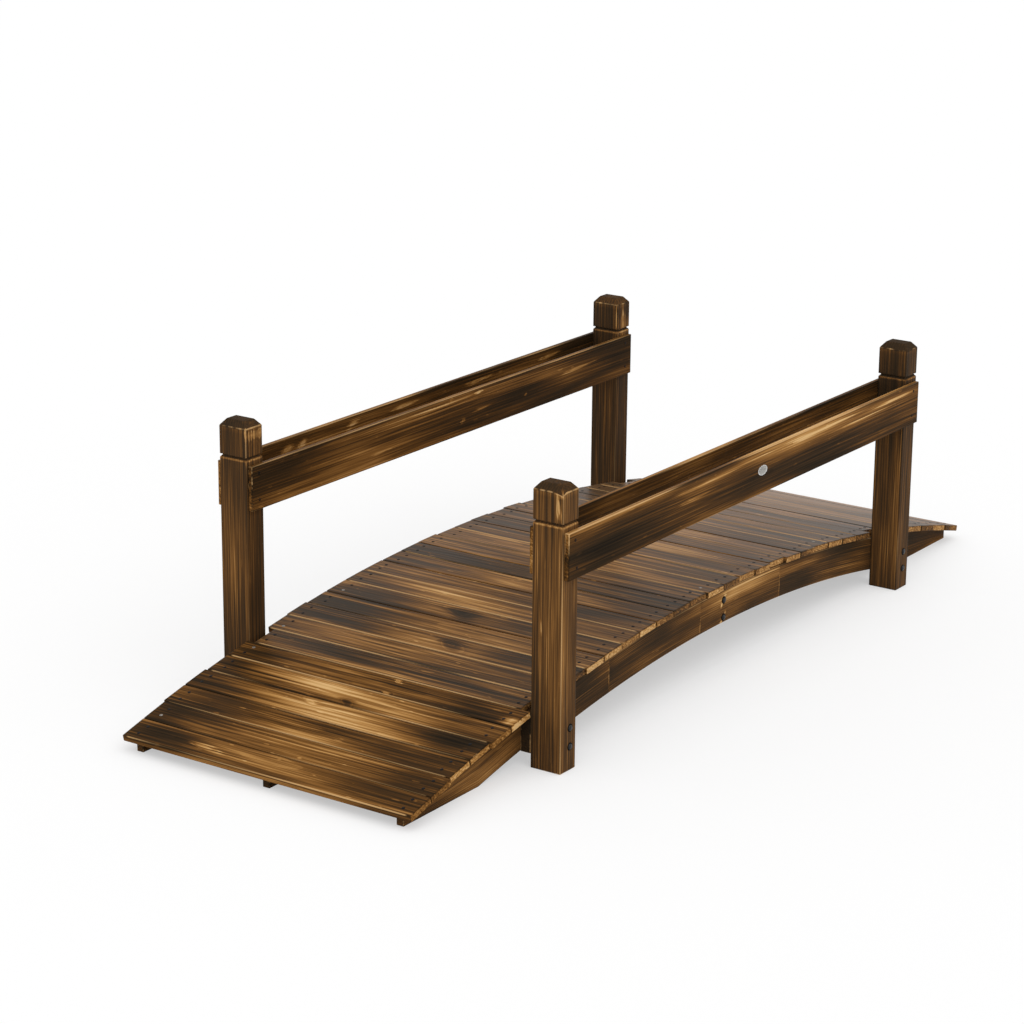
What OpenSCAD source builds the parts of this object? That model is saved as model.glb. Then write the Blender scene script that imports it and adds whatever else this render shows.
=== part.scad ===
// Low arched garden footbridge in scorched softwood.
// X runs along the walk, Y across it and Z up; near is -X, far is +X, left is +Y and right is -Y.
// The deck boards lie as flat facets on one circular arc. Three arched stringers run from end to end
// under them, and two arched side beams tie the posts to the outer stringers.

/* [Overall] */
// length over the end boards
bridge_len = 2298.7; // [1800:0.1:3000]
// width over the outer rails
bridge_w = 889; // [700:0.1:1200]
// height to the tops of the posts
bridge_h = 596.9; // [480:0.1:900]

/* [Deck] */
// height of the walking surface at mid-span
crown_h = 186; // [160:1:260]
// height of the walking surface at either end
end_h = 33.5; // [30:0.5:60]
// boards in each ramp, between the end and the posts
ramp_boards = 6; // [4:1:8]
// full boards between the near and far posts
span_boards = 20; // [12:2:26]
// thickness of a board
board_t = 14; // [10:0.5:25]
// gap between neighbouring boards
board_gap = 1; // [0.5:0.1:4]
// eased arris along a board's long top edges
board_ease = 1.2; // [0.4:0.1:3]
// how far a board's end oversails the side beam under it
board_over = 4.5; // [2:0.5:20]
// space between the end of a short board and the post beside it
notch_gap = 20.5; // [4:0.5:30]

/* [Posts] */
// post size along the walk
post_x = 54; // [40:1:60]
// post size across the walk
post_y = 71.5; // [50:0.5:100]
// height of the sloped top of a post
head_h = 14; // [5:0.5:30]
// how far each slope runs in from its face
head_in = 11.5; // [5:0.5:20]
// drop from the post's top to the upper edge of its groove
groove_drop = 76; // [40:1:90]
// height of the groove that runs round the post
groove_h = 6; // [3:0.5:12]
// depth of the groove
groove_d = 4.5; // [2:0.5:10]

/* [Rails] */
// thickness of a rail
rail_t = 11.5; // [9:0.5:30]
// height of a rail
rail_h = 98; // [60:0.5:140]
// height of a rail's lower edge above the ground
rail_z = 405; // [300:1:460]
// setback of a rail's end from the post's outer end face
rail_back = 5.5; // [2:0.5:20]

/* [Beams and stringers] */
// thickness of a side beam
beam_t = 25; // [16:1:40]
// thickness of a stringer
stringer_t = 17.5; // [12:0.5:30]
// setback of a stringer's tip from the edge of the end board
stringer_back = 16; // [4:0.5:40]
// clear height under the arch at mid-span
under_crown = 97.5; // [70:0.5:130]
// half the length between the points where the arch springs from the ground
under_reach = 886; // [780:1:1000]
// clearance between the boards and the arc that carries them
seat = 0.3; // [0.1:0.1:1]

/* [Hidden] */
$fn = 720;
wood = [0.40, 0.25, 0.13];
end_wood = [0.34, 0.21, 0.11];

// deck arc: its radius from the rise over half the length, and one angular step for each board
boards = 2 * ramp_boards + 2 + span_boards;
rise = crown_h - end_h;
arc_r = (pow(bridge_len / 2, 2) + rise * rise) / (2 * rise);
arc_z = crown_h - arc_r;
sweep_guess = asin(bridge_len / 2 / arc_r);
end_tilt = sweep_guess * (1 - 1 / boards);
reach = bridge_len / 2 + board_gap / 2 * cos(end_tilt) + board_ease * sin(end_tilt);
step = 2 * asin(reach * cos(sweep_guess / boards) / arc_r) / boards;
board_w = 2 * arc_r * tan(step / 2) - board_gap;
carry_r = arc_r - board_t - seat;

// posts stand in the notches that the two short boards leave
near_short = ramp_boards + 1;
far_short = boards - ramp_boards;
post_at_x = arc_r * sin((span_boards + 1) / 2 * step);
post_in_y = bridge_w / 2 - rail_t - post_y;
post_at_y = post_in_y + post_y / 2;
deck_half = post_in_y + board_over;
short_half = post_in_y - notch_gap;

// side beams end flush with the posts, and the outer stringers lie against their inner faces
beam_half = post_at_x + post_x / 2;
beam_in_y = post_in_y - beam_t;
stringer_half = bridge_len / 2 - stringer_back;
rail_half = beam_half - rail_back;
under_r = (pow(under_reach, 2) + pow(under_crown, 2)) / (2 * under_crown);

function two(i) = str(i < 10 ? "0" : "", i);
function board_name(i) =
    i < near_short ? str("near_ramp_board_", i) :
    i == near_short ? "near_post_board" :
    i < far_short ? str("span_board_", two(i - near_short)) :
    i == far_short ? "far_post_board" :
    str("far_ramp_board_", boards + 1 - i);

// stands an outline drawn in X and Z up and gives it the width w from y upwards
module across(y, w) {
    translate([0, y + w, 0])
        rotate([90, 0, 0])
            linear_extrude(height = w)
                children();
}

// section of a deck board, with its top face on the line z = 0
module board_section() {
    half = board_w / 2;
    polygon([
        [-half, -board_t],
        [half, -board_t],
        [half, -board_ease],
        [half - board_ease, 0],
        [board_ease - half, 0],
        [-half, -board_ease]
    ]);
}

// board i, counted from the near end, laid as a tangent on the deck arc
module deck_board(i) {
    tilt = (i - (boards + 1) / 2) * step;
    half_len = (i == near_short || i == far_short) ? short_half : deck_half;
    color(wood)
        translate([arc_r * sin(tilt), 0, arc_z + arc_r * cos(tilt)])
            rotate([0, tilt, 0])
                across(-half_len, 2 * half_len)
                    board_section();
}

// outline of a post seen square on, w wide, with its groove and sloped top
module post_outline(w) {
    half = w / 2;
    groove_z = bridge_h - groove_drop;
    side = [
        [half, 0],
        [half, groove_z - groove_h],
        [half - groove_d, groove_z - groove_h],
        [half - groove_d, groove_z],
        [half, groove_z],
        [half, bridge_h - head_h],
        [half - head_in, bridge_h]
    ];
    last = len(side) - 1;
    polygon(concat(side, [for (i = [last:-1:0]) [-side[i][0], side[i][1]]]));
}

// a post is what its two outlines share, so groove and slopes meet in mitres
module post(end, flank) {
    color(wood)
        translate([end * post_at_x, flank * post_at_y, 0])
            intersection() {
                across(-post_y / 2, post_y)
                    post_outline(post_x);
                rotate([0, 0, 90])
                    across(-post_x / 2, post_x)
                        post_outline(post_y);
            }
}

// rail on the post's outer face (out = 1) or its inner face (out = 0)
module rail(flank, out) {
    y = out ? post_in_y + post_y : post_in_y - rail_t;
    color(wood)
        translate([-rail_half, flank > 0 ? y : -y - rail_t, rail_z])
            cube([2 * rail_half, rail_t, rail_h]);
}

// outline between the arc that carries the boards and the arch below, half_len to each side of mid-span
module arch_outline(half_len) {
    intersection() {
        difference() {
            translate([0, arc_z])
                circle(r = carry_r);
            translate([0, under_crown - under_r])
                circle(r = under_r);
        }
        translate([-half_len, 0])
            square([2 * half_len, crown_h]);
    }
}

// side beam between the posts, with its right-hand face at y
module arch_beam(y) {
    color(end_wood)
        across(y, beam_t)
            arch_outline(beam_half);
}

// stringer from end to end, flat on the ground past the arch, with its right-hand face at y
module stringer(y) {
    color(end_wood)
        across(y, stringer_t)
            arch_outline(stringer_half);
}

for (i = [1:boards])
    deck_board(i);
post(-1, 1);  // left_near_post
post(-1, -1);  // right_near_post
post(1, 1);  // left_far_post
post(1, -1);  // right_far_post
rail(1, 1);  // left_outer_rail
rail(1, 0);  // left_inner_rail
rail(-1, 0);  // right_inner_rail
rail(-1, 1);  // right_outer_rail
arch_beam(beam_in_y);  // left_arch_beam
arch_beam(-post_in_y);  // right_arch_beam
stringer(beam_in_y - stringer_t);  // left_stringer
stringer(-stringer_t / 2);  // middle_stringer
stringer(-beam_in_y);  // right_stringer
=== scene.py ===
# %% [markdown]
# # A low arched garden footbridge in scorched softwood
# The bridge is a flat arc of crosswise boards on three stringers and two side beams, with a pair of
# rails bolted to two posts on each side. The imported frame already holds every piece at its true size.
# This lesson dresses it: each sawn timber is modelled again with eased, slightly worn edges, and all
# of them share one idea for their finish, wood that was burnt with a torch, brushed and varnished.

# %% Load the frame
import math
import random

import bmesh
import bpy
import numpy as np
from mathutils import Matrix, Vector


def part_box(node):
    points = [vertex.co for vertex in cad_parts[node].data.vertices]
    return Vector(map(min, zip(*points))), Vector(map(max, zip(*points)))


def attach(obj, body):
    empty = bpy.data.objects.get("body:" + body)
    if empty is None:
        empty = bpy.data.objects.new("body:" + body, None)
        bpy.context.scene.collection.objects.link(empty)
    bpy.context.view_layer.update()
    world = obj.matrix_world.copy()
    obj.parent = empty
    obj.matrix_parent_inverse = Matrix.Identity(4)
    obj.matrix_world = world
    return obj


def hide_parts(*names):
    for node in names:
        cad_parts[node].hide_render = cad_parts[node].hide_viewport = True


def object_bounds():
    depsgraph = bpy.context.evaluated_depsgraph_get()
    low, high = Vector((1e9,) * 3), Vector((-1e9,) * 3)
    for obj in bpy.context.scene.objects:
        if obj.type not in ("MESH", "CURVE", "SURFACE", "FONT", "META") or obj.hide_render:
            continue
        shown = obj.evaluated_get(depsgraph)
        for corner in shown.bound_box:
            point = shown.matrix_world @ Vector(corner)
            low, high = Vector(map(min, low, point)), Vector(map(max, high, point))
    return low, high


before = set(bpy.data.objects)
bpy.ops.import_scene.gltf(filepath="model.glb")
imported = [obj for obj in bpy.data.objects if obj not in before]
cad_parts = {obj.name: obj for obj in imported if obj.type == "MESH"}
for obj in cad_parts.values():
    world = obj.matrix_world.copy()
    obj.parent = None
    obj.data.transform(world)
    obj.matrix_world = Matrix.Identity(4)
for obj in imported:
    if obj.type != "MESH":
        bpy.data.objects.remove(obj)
cad_low, cad_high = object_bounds()
bpy.context.scene.view_settings.view_transform = "Standard"
print("CAD box", [round(v, 4) for v in cad_low], [round(v, 4) for v in cad_high])

# %% [markdown]
# ## Camera
# The picture was taken from the near right-hand side, a little above the rails, with a long lens.
# A long lens far away keeps the two rails almost parallel. The aim point and the distance are easier
# to read than a rotation, so the rotation is worked out from them, with a small roll at the end.

# %% Place the camera
CAMERA_AT = Vector((-5.3064, -3.4513, 2.2141))
AIM_AT = Vector((-0.027, 0.180, 0.261))
ROLL = math.radians(0.455)
LENS_MM = 103.9

bpy.ops.object.select_all(action="DESELECT")
bpy.ops.object.camera_add(location=CAMERA_AT)
camera = bpy.context.object
camera.name = "photo_camera"
turn = (AIM_AT - CAMERA_AT).to_track_quat("-Z", "Y").to_matrix() @ Matrix.Rotation(ROLL, 3, "Z")
camera.rotation_euler = turn.to_euler()
camera.data.lens = LENS_MM
camera.data.sensor_fit = "HORIZONTAL"
camera.data.sensor_width = 36.0
bpy.context.scene.camera = camera
print("camera is", round((AIM_AT - CAMERA_AT).length, 3), "m from its aim")

# %% [markdown]
# ## Shader maths as Python
# A material here is a sum of many noises, and a row of node calls is hard to read. One small class
# wraps a node's output, so that `0.3 + a * b - c` adds the Math nodes by itself. Colours and vectors go
# through Mix and Vector Math, and `add` makes any other node: its settings come first, because they
# decide which sockets it has, and then its inputs.


# %% A wire in a node tree
class Wire:
    """An output socket. Arithmetic on it adds Math nodes to its tree."""

    def __init__(self, tree, socket=None):
        self.tree, self.socket = tree, socket

    def add(self, kind, settings=None, inputs=None, out=0):
        node = self.tree.nodes.new("ShaderNode" + kind)
        for key, value in (settings or {}).items():
            if key == "stops":
                ramp = node.color_ramp
                while len(ramp.elements) < len(value):
                    ramp.elements.new(1.0)
                for element, (place, colour) in zip(ramp.elements, value):
                    element.position = place
                    element.color = (*colour, 1.0)
            else:
                setattr(node, key, value)
        for key, value in (inputs or {}).items():
            if isinstance(value, Wire):
                self.tree.links.new(value.socket, node.inputs[key])
            else:
                node.inputs[key].default_value = value
        return Wire(self.tree, node.outputs[out])

    def math(self, operation, a, b=0.0):
        return self.add("Math", {"operation": operation}, {0: a, 1: b})

    def vector(self, operation, a, b=(0.0, 0.0, 0.0), out=0):
        return self.add("VectorMath", {"operation": operation}, {0: a, 1: b}, out)

    def noise(self, place, stretch, detail=2.0, rough=0.5, out=0):
        place = self.vector("MULTIPLY", place, stretch)
        return self.add("TexNoise", {"noise_dimensions": "3D"},
                        {"Vector": place, "Scale": 1.0, "Detail": detail, "Roughness": rough}, out)

    def step(self, value, low, high):
        return self.add("MapRange", {"interpolation_type": "SMOOTHSTEP"},
                        {"Value": value, "From Min": low, "From Max": high})

    def mix(self, factor, a, b):
        return self.add("Mix", {"data_type": "RGBA"}, {0: factor, 6: a, 7: b}, out=2)

    def blend(self, factor, a, b):
        return self.add("Mix", {"data_type": "FLOAT"}, {0: factor, 2: a, 3: b})

    def __add__(self, other):
        return self.math("ADD", self, other)

    def __radd__(self, other):
        return self.math("ADD", other, self)

    def __sub__(self, other):
        return self.math("SUBTRACT", self, other)

    def __mul__(self, other):
        return self.math("MULTIPLY", self, other)

    def __truediv__(self, other):
        return self.math("DIVIDE", self, other)


def new_finish(name):
    finish = bpy.data.materials.new(name)
    finish.use_nodes = True
    return finish, Wire(finish.node_tree), finish.node_tree.nodes["Principled BSDF"]


print("wires ready")

# %% [markdown]
# ## Studio
# Garden furniture like this is shown on plain white. The floor is a pale sheet that keeps a soft
# shadow, the world is white where the camera or a reflection sees it and dimmer as a lamp, and one
# wide, very soft light overhead lights the deck a little more than the upright faces.

# %% Floor, world and lamps
AMBIENT = 0.70
SKYLIGHT = 1.05
SKY_WIDTH = math.radians(75.0)
SKY_AT, SKY_WAY = (0.5, -1.2, 3.0), Vector((0.25, 0.40, -1.0))
WHITE = (1.0, 1.0, 1.0, 1.0)
FLOOR_COLOUR = (0.96, 0.96, 0.96, 1.0)
FLOOR_M, FLOOR_Z = 40.0, -0.0006
FLOOR_GLOW, GLOW_STRENGTH = 0.45, 1.05

bpy.ops.object.select_all(action="DESELECT")
bpy.ops.mesh.primitive_plane_add(size=FLOOR_M, location=(0.0, 0.0, FLOOR_Z))
floor = bpy.context.object
floor.name = "studio_floor"
floor_finish, wire, shader = new_finish("pale_floor")
shader.inputs["Base Color"].default_value = FLOOR_COLOUR
shader.inputs["Roughness"].default_value = 0.9
shader.inputs["Specular IOR Level"].default_value = 0.0
path = wire.add("LightPath", out="Is Camera Ray")
glow = wire.add("Emission", None, {"Color": WHITE, "Strength": GLOW_STRENGTH})
bare = Wire(wire.tree, shader.outputs[0])
sheet = wire.add("MixShader", None, {0: path * FLOOR_GLOW, 1: bare, 2: glow})
wire.tree.links.new(sheet.socket, wire.tree.nodes["Material Output"].inputs["Surface"])
floor.data.materials.append(floor_finish)

world = bpy.data.worlds.new("white_studio")
bpy.context.scene.world = world
world.use_nodes = True
wire = Wire(world.node_tree)
seen = wire.add("LightPath", out="Is Camera Ray")
shiny = wire.add("LightPath", out="Is Glossy Ray")
through = wire.add("LightPath", out="Is Transmission Ray")
shown = wire.math("MAXIMUM", wire.math("MAXIMUM", seen, shiny), through)
back = world.node_tree.nodes["Background"]
back.inputs["Color"].default_value = WHITE
world.node_tree.links.new(wire.blend(shown, AMBIENT, 1.0).socket, back.inputs["Strength"])

bpy.ops.object.light_add(type="SUN", location=SKY_AT)
skylight = bpy.context.object
skylight.name = "wide_skylight"
skylight.rotation_euler = SKY_WAY.to_track_quat("-Z", "Y").to_euler()
skylight.data.angle = SKY_WIDTH
skylight.data.energy = SKYLIGHT
print("studio ready")

# %% [markdown]
# ## Scorched wood
# Tone and arris also hold painted light: a painted highlight on the rails' tops and upper edges and on the
# posts' groove shoulders, and painted shade inside the grooves.
# Softwood burnt with a torch goes dark in drifting clouds, and brushing brings the hard latewood lines
# back as golden streaks. All of it runs along the fibre. Each timber therefore carries its own wood
# coordinates in an attribute called grain: along the fibre, across it and through it, measured from the
# heart of an imaginary log. The distance from that heart gives the growth rings, which come out as long
# lines on the faces and as arcs on the end grain, just as in a real board. Three more attributes carry
# what a painter would add: tone for lighter and darker places, arris for rubbed edges, and knot.
# Weathered timbers get a little grey haze in their colour, and the deck a faint sheen of dust.

# %% The finish
SCORCH_STOPS = (
    (0.00, (0.0120, 0.0082, 0.0048)),
    (0.14, (0.0255, 0.0152, 0.0068)),
    (0.27, (0.0400, 0.0215, 0.0090)),
    (0.42, (0.0900, 0.0395, 0.0108)),
    (0.62, (0.2380, 0.1060, 0.0265)),
    (0.82, (0.4850, 0.2500, 0.0760)),
    (1.00, (0.7200, 0.4550, 0.1950)),
)
RUBBED = (0.58, 0.345, 0.145, 1.0)
DUST = (0.97, 0.86, 0.68, 1.0)
HAZE = (0.122, 0.098, 0.074, 1.0)
DUST_ROUGH = 0.45
RING_M = 0.0060
KNOT_GAIN, EDGE_BURN = 0.46, 0.14
RELIEF_M, RELIEF_STRENGTH = 0.0007, 0.45


def scorched_wood(name, end_axis, level, fibre_gain, speck_gain, gloss, cloud_gain=0.95, streak_gain=0.45,
                  line_gain=0.09, thread_gain=0.20, fleck_gain=0.20, fine=380.0, reach=1.0,
                  end_from=0.70, rub=1.0, dust=0.0, haze=0.0):
    """end_axis is the axis that looks out of the end grain; level is how far the scorch was brushed off."""
    finish, w, shader = new_finish(name)
    grain = w.add("Attribute", {"attribute_name": "grain"}, out="Vector")
    tone = w.add("Attribute", {"attribute_name": "tone"}, out="Fac")
    arris = w.add("Attribute", {"attribute_name": "arris"}, out="Fac")
    knot = w.add("Attribute", {"attribute_name": "knot"}, out="Vector")

    # noises stretched along the fibre, from broad clouds down to single fibres
    cloud = w.noise(grain, (2.6 * reach, 11.0, 11.0), 1.8, 0.5)
    streak = w.noise(grain, (2.6 * reach, 80.0, 80.0), 2.0, 0.55)
    fibre = w.noise(grain, (4.5 * reach, fine, fine), 3.0, 0.65)
    speck = w.noise(grain, (150.0, 150.0, 260.0), 2.0, 0.6)

    # distance from the heart of the log, which wanders a little along its length
    drift = w.noise(grain, (1.7, 8.0, 8.0), 2.0, 0.5, out=1)
    drift = w.vector("MULTIPLY", w.vector("SUBTRACT", drift, (0.5, 0.5, 0.5)), (0.0, 0.030, 0.030))
    log = w.vector("MULTIPLY", w.vector("ADD", grain, drift), (0.0, 1.0, 1.0))
    heart = w.vector("LENGTH", log, out="Value")

    # a knot: u along the fibre and v across it, in knot sizes, and s its strength, dark where negative
    knot_u = w.add("SeparateXYZ", None, {0: knot})
    knot_v = Wire(w.tree, knot_u.socket.node.outputs[1])
    knot_s = Wire(w.tree, knot_u.socket.node.outputs[2])
    taper = w.math("EXPONENT", knot_u * 0.7)
    knot_v = knot_v - knot_u * 0.40
    near = w.math("EXPONENT", (knot_u * knot_u * 0.6 + knot_v * knot_v * taper) * -1.0)
    flame = w.step(near + (streak - 0.5) * 1.2 + (fibre - 0.5) * 1.0, 0.38, 0.75)
    curl = w.math("FRACT", near * 2.2 + (streak - 0.5) * 1.5)
    curl = w.step(w.math("ABSOLUTE", curl - 0.5), 0.10, 0.40)
    core = flame * (0.55 + curl * 0.45) * w.math("MAXIMUM", knot_s, 0.0)
    core = core + near * w.math("MINIMUM", knot_s, 0.0)

    # growth rings that bend round the knots, then bundles of bright threads, dark checks and flecks
    rings = heart / RING_M + near * knot_s * 2.0 + (streak - 0.5) * 0.5
    saw = w.math("FRACT", rings)
    late = w.step(saw, 0.45, 0.92) * w.step(saw, 1.0, 0.94)
    bright, dark = 0.6 * fine + 60.0, 0.6 * fine + 40.0
    thread = w.noise(grain, (1.3 * reach, bright, bright), 1.0, 0.5)
    check = w.step(w.noise(grain, (1.8 * reach, dark, dark), 1.0, 0.5), 0.62, 0.74)
    bundle = w.step(w.noise(grain, (1.4, 22.0, 22.0), 1.0, 0.5), 0.44, 0.58)
    thread = w.step(thread, 0.60, 0.70) * bundle
    fleck = w.step(w.noise(grain, (26.0, 110.0, 110.0), 1.0, 0.5), 0.72, 0.77)

    # faces and end grain go through one colour ramp, and rubbed edges lie over it
    face = level + tone + (cloud - 0.5) * cloud_gain + (streak - 0.5) * streak_gain
    face = face + (fibre - 0.5) * fibre_gain + (late - 0.3) * line_gain + core * KNOT_GAIN
    face = face + thread * thread_gain - check * thread_gain * 0.8 + fleck * fleck_gain

    turned = w.add("TexCoord", out="Normal")
    normal = w.add("SeparateXYZ", None, {0: turned}, out=end_axis)
    end = w.step(w.math("ABSOLUTE", normal), end_from, end_from + 0.15)
    cut = level + tone + (cloud - 0.5) * 0.6 + (speck - 0.5) * speck_gain + (late - 0.3) * 0.09
    depth = w.blend(end, face, cut) - arris * EDGE_BURN
    colour = w.add("ValToRGB", {"stops": SCORCH_STOPS}, {0: depth})
    colour = w.mix(haze, colour, HAZE)
    rubbed = w.step(arris * (0.22 + streak * 0.9 + (cloud - 0.5) * 1.4), 0.48, 0.90) * rub
    colour = w.mix(rubbed, colour, RUBBED)
    w.tree.links.new(colour.socket, shader.inputs["Base Color"])

    # gloss, dust and the relief that brushing leaves
    rough = 0.34 + (fibre - 0.5) * 0.25 + end * 0.30
    w.tree.links.new(rough.socket, shader.inputs["Roughness"])
    shader.inputs["Specular IOR Level"].default_value = gloss
    shader.inputs["Sheen Weight"].default_value = dust
    shader.inputs["Sheen Roughness"].default_value = DUST_ROUGH
    shader.inputs["Sheen Tint"].default_value = DUST
    relief = (fibre - 0.5) * 0.5 + late * 0.35 + (streak - 0.5) * 0.6 + end * (speck - 0.5) * 1.2
    bump = w.add("Bump", None, {"Height": relief, "Distance": RELIEF_M, "Strength": RELIEF_STRENGTH})
    w.tree.links.new(bump.socket, shader.inputs["Normal"])
    return finish


ramp_finish = scorched_wood(
    "scorched_ramp", 1, 0.474, fibre_gain=1.1, speck_gain=0.9, gloss=0.010, cloud_gain=0.61,
    thread_gain=0.14, fine=190.0, reach=0.8)
deck_finish = scorched_wood(
    "scorched_deck", 1, 0.475, fibre_gain=1.2, speck_gain=0.9, gloss=0.038, cloud_gain=0.70,
    streak_gain=0.42, thread_gain=0.14, fine=150.0, reach=0.8, dust=0.05, haze=0.055)
post_finish = scorched_wood(
    "scorched_post", 2, 0.40, fibre_gain=1.1, speck_gain=0.4, gloss=0.015, cloud_gain=0.55,
    streak_gain=0.20, line_gain=0.05, thread_gain=0.12, fleck_gain=0.05, fine=330.0, end_from=0.45,
    rub=0.8, haze=0.08)
rail_finish = scorched_wood(
    "scorched_rail", 0, 0.390, fibre_gain=0.9, speck_gain=1.0, gloss=0.010, streak_gain=0.22,
    line_gain=0.06, thread_gain=0.17, fleck_gain=0.12, fine=260.0, reach=0.8)
beam_finish = scorched_wood(
    "scorched_beam", 0, 0.415, fibre_gain=0.6, speck_gain=0.4, gloss=0.010, streak_gain=0.35,
    fleck_gain=0.12, reach=1.5, rub=0.6, haze=0.06)
print("five wood finishes")

# %% [markdown]
# ## A sawn timber
# Boards, rails, beams and stringers all start as the same thing: a sawn bar with eased edges. A cube is
# scaled to size, its long edges are cut so that the bar can bend and hold tone, each side gets a narrow
# border, and the outline is bevelled. The border keeps the rubbed arris narrow. The bar lies along X,
# centred on the origin, until it is put in its place.

# %% Edit mode helpers
EASE = 0.0015
BORDER = 0.0042
OUTLINE_ANGLE = 0.6
SIX_SIDES = ((1, 0, 0), (-1, 0, 0), (0, 1, 0), (0, -1, 0), (0, 0, 1), (0, 0, -1))


def pick(piece, kind, test):
    bpy.ops.mesh.select_mode(type=kind)
    bpy.ops.mesh.select_all(action="DESELECT")
    shape = bmesh.from_edit_mesh(piece.data)
    for item in shape.edges if kind == "EDGE" else shape.faces:
        if test(item):
            item.select_set(True)
    shape.select_flush_mode()
    bmesh.update_edit_mesh(piece.data)


def runs_along(axis):
    def test(edge):
        way = edge.verts[1].co - edge.verts[0].co
        return abs(way[axis]) > 0.99 * way.length
    return test


def is_outline(edge):
    return len(edge.link_faces) == 2 and edge.calc_face_angle() > OUTLINE_ANGLE


def border_sides(piece, sides, width, keep=lambda face: True):
    for side in sides:
        pick(piece, "FACE", lambda face: face.normal.dot(Vector(side)) > 0.99 and keep(face))
        bpy.ops.mesh.inset(thickness=width, depth=0.0)


def sawn_bar(name, length, width, height, cuts_along, cuts_across, cuts_up=0):
    bpy.ops.object.select_all(action="DESELECT")
    bpy.ops.mesh.primitive_cube_add(size=1.0)
    bar = bpy.context.object
    bar.name = name
    bar.scale = (length, width, height)
    bpy.ops.object.transform_apply(location=False, rotation=False, scale=True)
    bpy.ops.object.mode_set(mode="EDIT")
    for axis, cuts in enumerate((cuts_along, cuts_across, cuts_up)):
        if cuts:
            pick(bar, "EDGE", runs_along(axis))
            bpy.ops.mesh.subdivide(number_cuts=cuts)
    border_sides(bar, SIX_SIDES, min(BORDER, 0.3 * min(width, height)))
    pick(bar, "EDGE", is_outline)
    bpy.ops.mesh.bevel(offset=EASE, segments=2, profile=0.5)
    bpy.ops.object.mode_set(mode="OBJECT")
    return bar


print("bar tools ready")

# %% [markdown]
# ## Wood coordinates and marks
# Every timber gets its attributes from where its points lie in the bar: `grain` is that place, pushed to
# a stretch of log of its own, and `arris` is 1 on the eased edges. Marks are listed one by one, each with a
# centre, a half length along the fibre, a half width and a strength, so light patches and dark clouds
# fall where they do on the real bridge. A knot is stored on face corners, as the distance to the nearest
# one in knot sizes, so that one small formula in the finish draws them all.

# %% Attributes
chance = random.Random(19)
HAIR = 1e-5
MM = 1000
SMOOTH_ANGLE = math.radians(40.0)
LOG_STRIDE = 3.7
LOG_TURN = Matrix.Rotation(math.radians(33.0), 2)


def points_of(piece):
    flat = np.empty(len(piece.data.vertices) * 3, np.float64)
    piece.data.vertices.foreach_get("co", flat)
    return flat.reshape(-1, 3)


def set_points(piece, points):
    piece.data.vertices.foreach_set("co", np.ascontiguousarray(points, np.float32).ravel())
    piece.data.update()


def give_grain(piece, number, fibre=0):
    """Wood coordinates from the bar's own points; fibre is the axis along the grain."""
    order = [fibre] + [axis for axis in range(3) if axis != fibre]
    local = points_of(piece)[:, order]
    heart = (chance.uniform(-0.05, 0.05), chance.uniform(0.03, 0.11))
    log = local + np.array([LOG_STRIDE * number, heart[0], heart[1]])
    log[:, 1:] = log[:, 1:] @ np.array(LOG_TURN)
    store = piece.data.attributes.new("grain", "FLOAT_VECTOR", "POINT")
    store.data.foreach_set("vector", np.ascontiguousarray(log, np.float32).ravel())
    return local


def give_arris(piece, half_sizes, rub=1.0):
    """rub where a point lies on the eased outline of a bar of these half sizes, 0 elsewhere."""
    points = np.abs(points_of(piece))
    on_edge = (points > np.array(half_sizes) - EASE - HAIR).sum(axis=1) >= 2
    store = piece.data.attributes.new("arris", "FLOAT", "POINT")
    store.data.foreach_set("value", (on_edge * rub).astype(np.float32))


def spread(u, v, mark):
    """Squared distance from a mark's centre, in its half lengths and half widths."""
    mid_u, mid_v, half_u, half_v, _ = mark
    return ((u - mid_u) / half_u) ** 2 + ((v - mid_v) / half_v) ** 2


def give_tone(piece, along, across, base, marks):
    """Sum of soft marks (centre along, across, half length, half width in mm, and strength)."""
    tone = np.zeros(len(along)) + base
    for mark in marks:
        tone += mark[4] * np.exp(-spread(along * MM, across * MM, mark))
    store = piece.data.attributes.new("tone", "FLOAT", "POINT")
    store.data.foreach_set("value", tone.astype(np.float32))


def give_knots(piece, along, across, knots):
    """Offsets to the nearest knot (centre along, across, half length, half width in mm, strength)."""
    mesh = piece.data
    store = mesh.attributes.new("knot", "FLOAT_VECTOR", "CORNER")
    values = np.full((len(mesh.loops), 3), (9.0, 9.0, 0.0), np.float32)
    if knots:
        corner = np.empty(len(mesh.loops), np.int32)
        mesh.loops.foreach_get("vertex_index", corner)
        for face in mesh.polygons:
            rows = slice(face.loop_start, face.loop_start + face.loop_total)
            u, v = along[corner[rows]] * MM, across[corner[rows]] * MM
            nearest = min(knots, key=lambda mark: spread(u.mean(), v.mean(), mark))
            mid_u, mid_v, half_u, half_v, strength = nearest
            values[rows, 0] = (u - mid_u) / half_u
            values[rows, 1] = (v - mid_v) / half_v
            values[rows, 2] = strength
    store.data.foreach_set("vector", values.ravel())


def finish_piece(piece, node, finish):
    bpy.ops.object.select_all(action="DESELECT")
    bpy.context.view_layer.objects.active = piece
    piece.select_set(True)
    bpy.ops.object.shade_smooth_by_angle(angle=SMOOTH_ANGLE)
    piece.data.materials.clear()
    piece.data.materials.append(finish)
    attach(piece, "root")
    if node:
        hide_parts(node)


print("attribute tools ready")

# %% [markdown]
# ## Deck boards
# Thirty-four boards lie as tangents on one arc, six in each ramp, a short one between each pair of posts
# and twenty in the span. One full board and one short board are modelled, and the rest are copies. Hand
# work never lines up, so each copy is slid, lifted and tipped by a hair before it is laid, and a few of
# the sawn gaps are left wider than the rest.

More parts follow.
